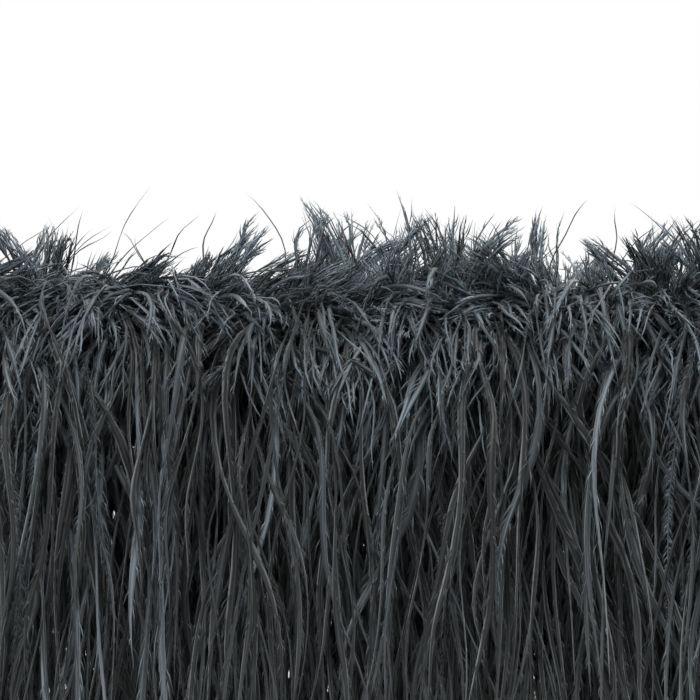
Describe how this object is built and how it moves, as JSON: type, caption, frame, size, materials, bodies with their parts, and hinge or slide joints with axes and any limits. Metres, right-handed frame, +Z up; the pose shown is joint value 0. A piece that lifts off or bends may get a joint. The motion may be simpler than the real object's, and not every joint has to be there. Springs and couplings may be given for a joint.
{
  "type": "feather boa",
  "caption": "Feather boa of long dyed ostrich fringe twisted round a cord, draped across a neck with a tail hanging at each side",
  "frame": {"origin": "the middle of the cord, where the boa rests on the neck or peg that holds it up", "axes": "+Z up, +X along the stretch across the neck, towards the right tail as seen from the front, -Y the front"},
  "size_m": [0.534, 0.144, 0.9063],
  "materials": {
    "ostrich_flue": "soft charcoal flues with a dull sheen",
    "plume_rib": "dyed quill, satin",
    "core_cord": "twisted cotton, matt",
    "binding_thread": "waxed thread, low sheen"
  },
  "bodies": {
    "middle": {"core_cord_middle": "core_cord", "rib_strip_a_middle": "plume_rib", "rib_strip_b_middle": "plume_rib", "binding_thread_middle": "binding_thread", "plumes_middle": "ostrich_flue", "plumes_left_shoulder": "ostrich_flue", "plumes_right_shoulder": "ostrich_flue"},
    "left_tail_1": {"core_cord_left_1": "core_cord", "rib_strip_a_left_1": "plume_rib", "rib_strip_b_left_1": "plume_rib", "binding_thread_left_1": "binding_thread", "plumes_left_1": "ostrich_flue"},
    "left_tail_2": {"core_cord_left_2": "core_cord", "rib_strip_a_left_2": "plume_rib", "rib_strip_b_left_2": "plume_rib", "binding_thread_left_2": "binding_thread", "plumes_left_2": "ostrich_flue"},
    "left_tail_3": {"core_cord_left_3": "core_cord", "rib_strip_a_left_3": "plume_rib", "rib_strip_b_left_3": "plume_rib", "binding_thread_left_3": "binding_thread", "plumes_left_3": "ostrich_flue"},
    "left_tail_4": {"core_cord_left_4": "core_cord", "rib_strip_a_left_4": "plume_rib", "rib_strip_b_left_4": "plume_rib", "binding_thread_left_4": "binding_thread", "plumes_left_4": "ostrich_flue", "end_whipping_left": "binding_thread", "end_loop_left": "core_cord"},
    "right_tail_1": {"core_cord_right_1": "core_cord", "rib_strip_a_right_1": "plume_rib", "rib_strip_b_right_1": "plume_rib", "binding_thread_right_1": "binding_thread", "plumes_right_1": "ostrich_flue"},
    "right_tail_2": {"core_cord_right_2": "core_cord", "rib_strip_a_right_2": "plume_rib", "rib_strip_b_right_2": "plume_rib", "binding_thread_right_2": "binding_thread", "plumes_right_2": "ostrich_flue"},
    "right_tail_3": {"core_cord_right_3": "core_cord", "rib_strip_a_right_3": "plume_rib", "rib_strip_b_right_3": "plume_rib", "binding_thread_right_3": "binding_thread", "plumes_right_3": "ostrich_flue"},
    "right_tail_4": {"core_cord_right_4": "core_cord", "rib_strip_a_right_4": "plume_rib", "rib_strip_b_right_4": "plume_rib", "binding_thread_right_4": "binding_thread", "plumes_right_4": "ostrich_flue", "end_whipping_right": "binding_thread", "end_loop_right": "core_cord"}
  },
  "joints": [
    {"name": "left_flex_1", "type": "hinge", "parent": "middle", "child": "left_tail_1", "pos_m": [-0.195, 0, -0.06], "axis": [0, 1, 0], "range_deg": [-8, 25]},
    {"name": "left_flex_2", "type": "hinge", "parent": "left_tail_1", "child": "left_tail_2", "pos_m": [-0.195, 0, -0.22983], "axis": [1, 0, 0], "range_deg": [-30, 30]},
    {"name": "left_flex_3", "type": "hinge", "parent": "left_tail_2", "child": "left_tail_3", "pos_m": [-0.195, 0, -0.39966], "axis": [0, 1, 0], "range_deg": [-25, 25]},
    {"name": "left_flex_4", "type": "hinge", "parent": "left_tail_3", "child": "left_tail_4", "pos_m": [-0.195, 0, -0.56949], "axis": [1, 0, 0], "range_deg": [-30, 30]},
    {"name": "right_flex_1", "type": "hinge", "parent": "middle", "child": "right_tail_1", "pos_m": [0.195, 0, -0.06], "axis": [0, 1, 0], "range_deg": [-25, 8]},
    {"name": "right_flex_2", "type": "hinge", "parent": "right_tail_1", "child": "right_tail_2", "pos_m": [0.195, 0, -0.22983], "axis": [1, 0, 0], "range_deg": [-30, 30]},
    {"name": "right_flex_3", "type": "hinge", "parent": "right_tail_2", "child": "right_tail_3", "pos_m": [0.195, 0, -0.39966], "axis": [0, 1, 0], "range_deg": [-25, 25]},
    {"name": "right_flex_4", "type": "hinge", "parent": "right_tail_3", "child": "right_tail_4", "pos_m": [0.195, 0, -0.56949], "axis": [1, 0, 0], "range_deg": [-30, 30]}
  ]
}
